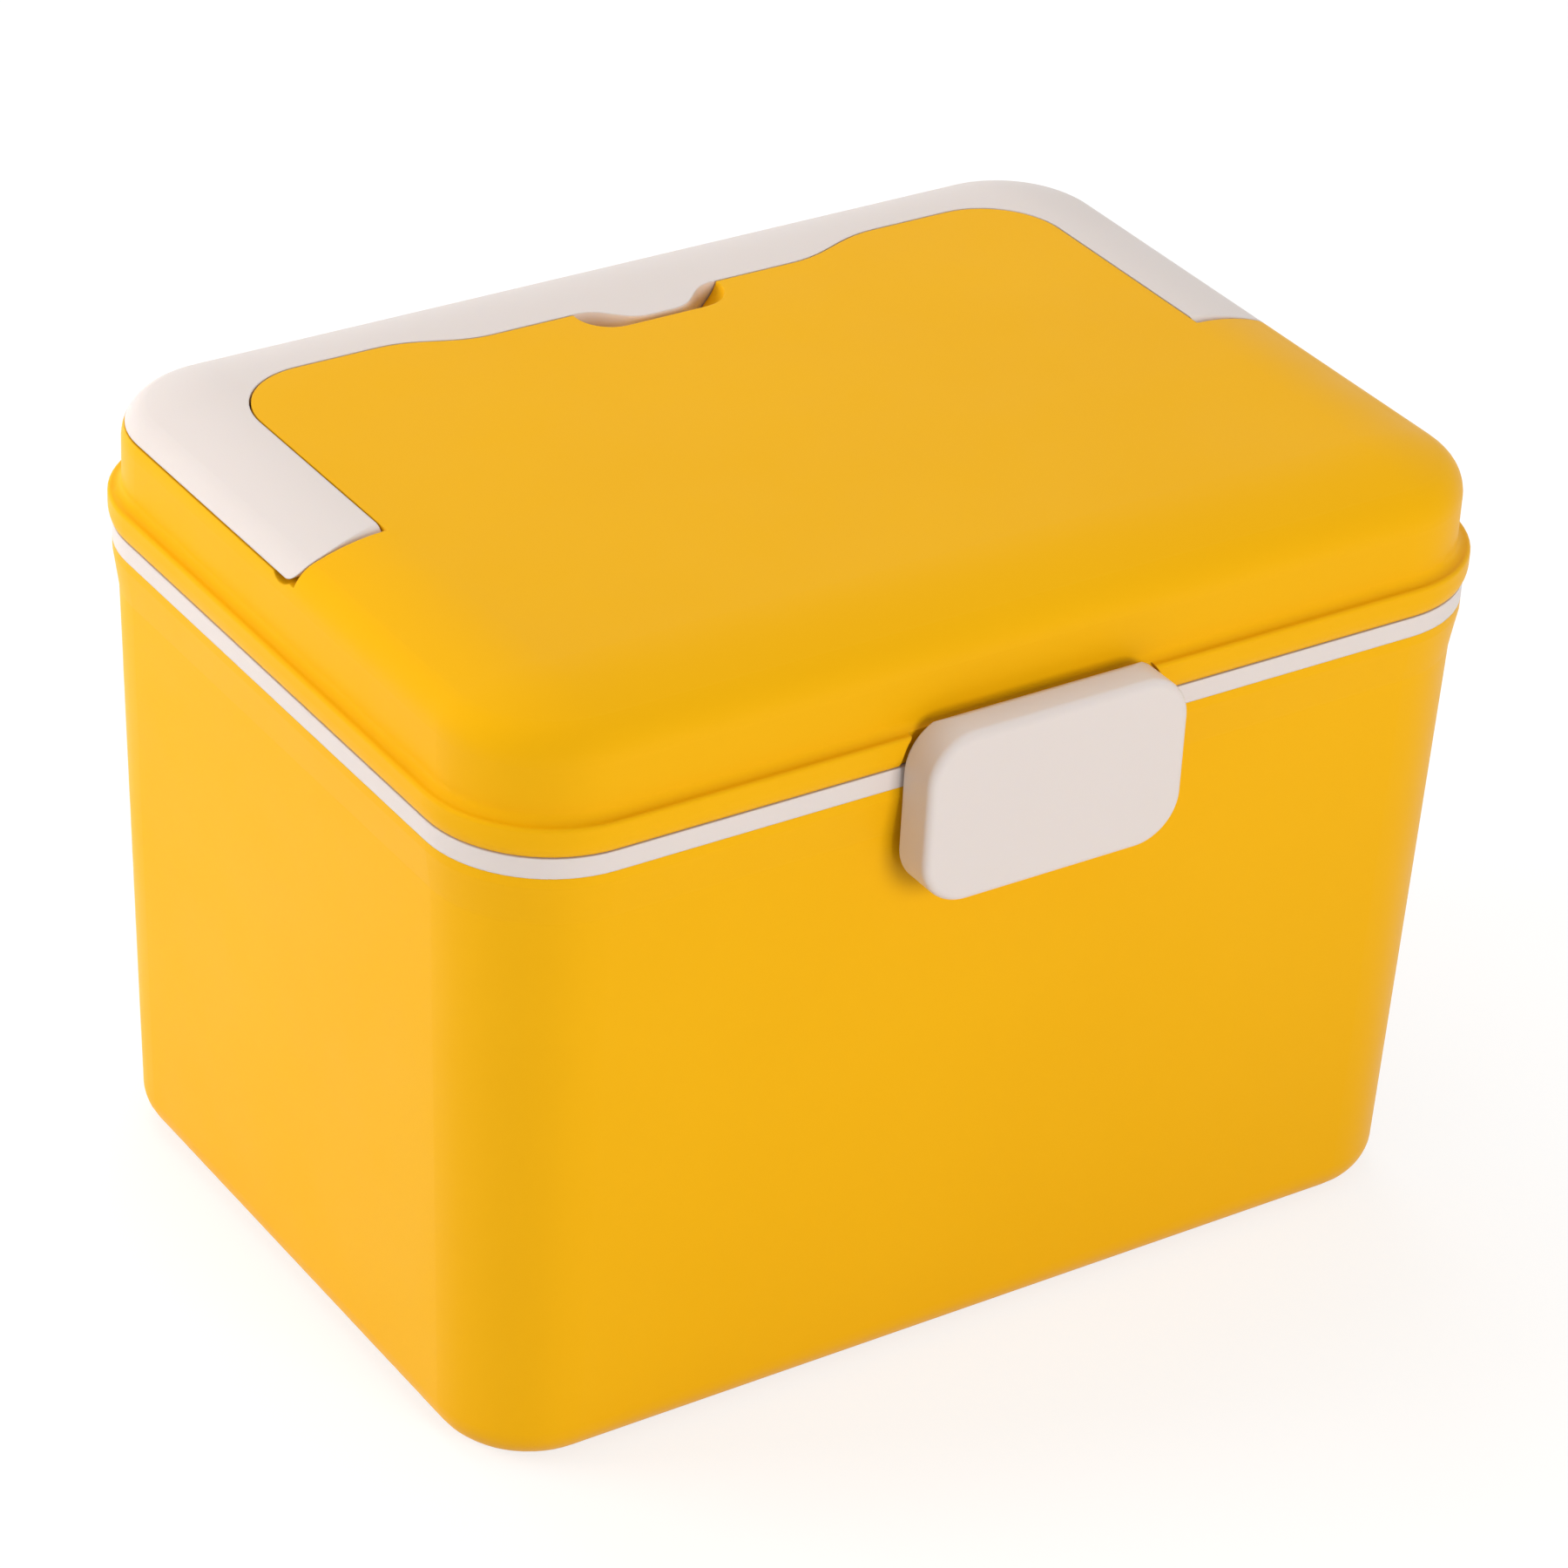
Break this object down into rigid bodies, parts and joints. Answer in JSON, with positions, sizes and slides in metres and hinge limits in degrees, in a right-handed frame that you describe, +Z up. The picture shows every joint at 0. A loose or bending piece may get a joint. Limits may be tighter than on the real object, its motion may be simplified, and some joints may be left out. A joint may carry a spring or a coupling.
{
  "type": "first aid box",
  "caption": "Household first aid box: tapered tub, pale rim frame, hinged lid with a flush swing-up handle, front latch, lift-out tray and dividers.",
  "frame": {"origin": "on the surface it stands on, under the middle of the whole box from the latch to the hinges", "axes": "+X to the right seen from the front, +Y from the latch to the hinges, +Z up"},
  "size_m": [0.278, 0.2232, 0.2011],
  "materials": {
    "yellow_plastic": "injection moulded polypropylene, fine satin",
    "cream_plastic": "injection moulded polypropylene, fine satin",
    "tray_plastic": "injection moulded polypropylene, slightly milky",
    "steel": "drawn wire, bright"
  },
  "bodies": {
    "base": {"base_tub": "yellow_plastic", "rim_frame": "cream_plastic", "tub_divider": "tray_plastic", "hinge_pin_left": "steel", "hinge_pin_right": "steel"},
    "lid": {"lid_shell": "yellow_plastic", "handle_pin_left": "steel", "handle_pin_right": "steel", "latch_pin": "steel"},
    "handle": {"handle": "cream_plastic"},
    "latch": {"latch_plate": "cream_plastic"},
    "tray": {"lift_out_tray": "tray_plastic", "tray_divider_left": "tray_plastic", "tray_divider_right": "tray_plastic"}
  },
  "joints": [
    {"name": "lid_hinge", "type": "hinge", "parent": "base", "child": "lid", "pos_m": [0, 0.1066, 0.1655], "axis": [-1, 0, 0], "range_deg": [0, 105]},
    {"name": "handle_swing", "type": "hinge", "parent": "lid", "child": "handle", "pos_m": [0, 0.0008, 0.1967], "axis": [1, 0, 0], "range_deg": [0, 90]},
    {"name": "latch_flip", "type": "hinge", "parent": "lid", "child": "latch", "pos_m": [0, -0.1048, 0.1741], "axis": [-1, 0, 0], "range_deg": [0, 60]},
    {"name": "tray_lift", "type": "slide", "parent": "base", "child": "tray", "axis": [0, 0, 1], "range_m": [0, 0.018]}
  ]
}
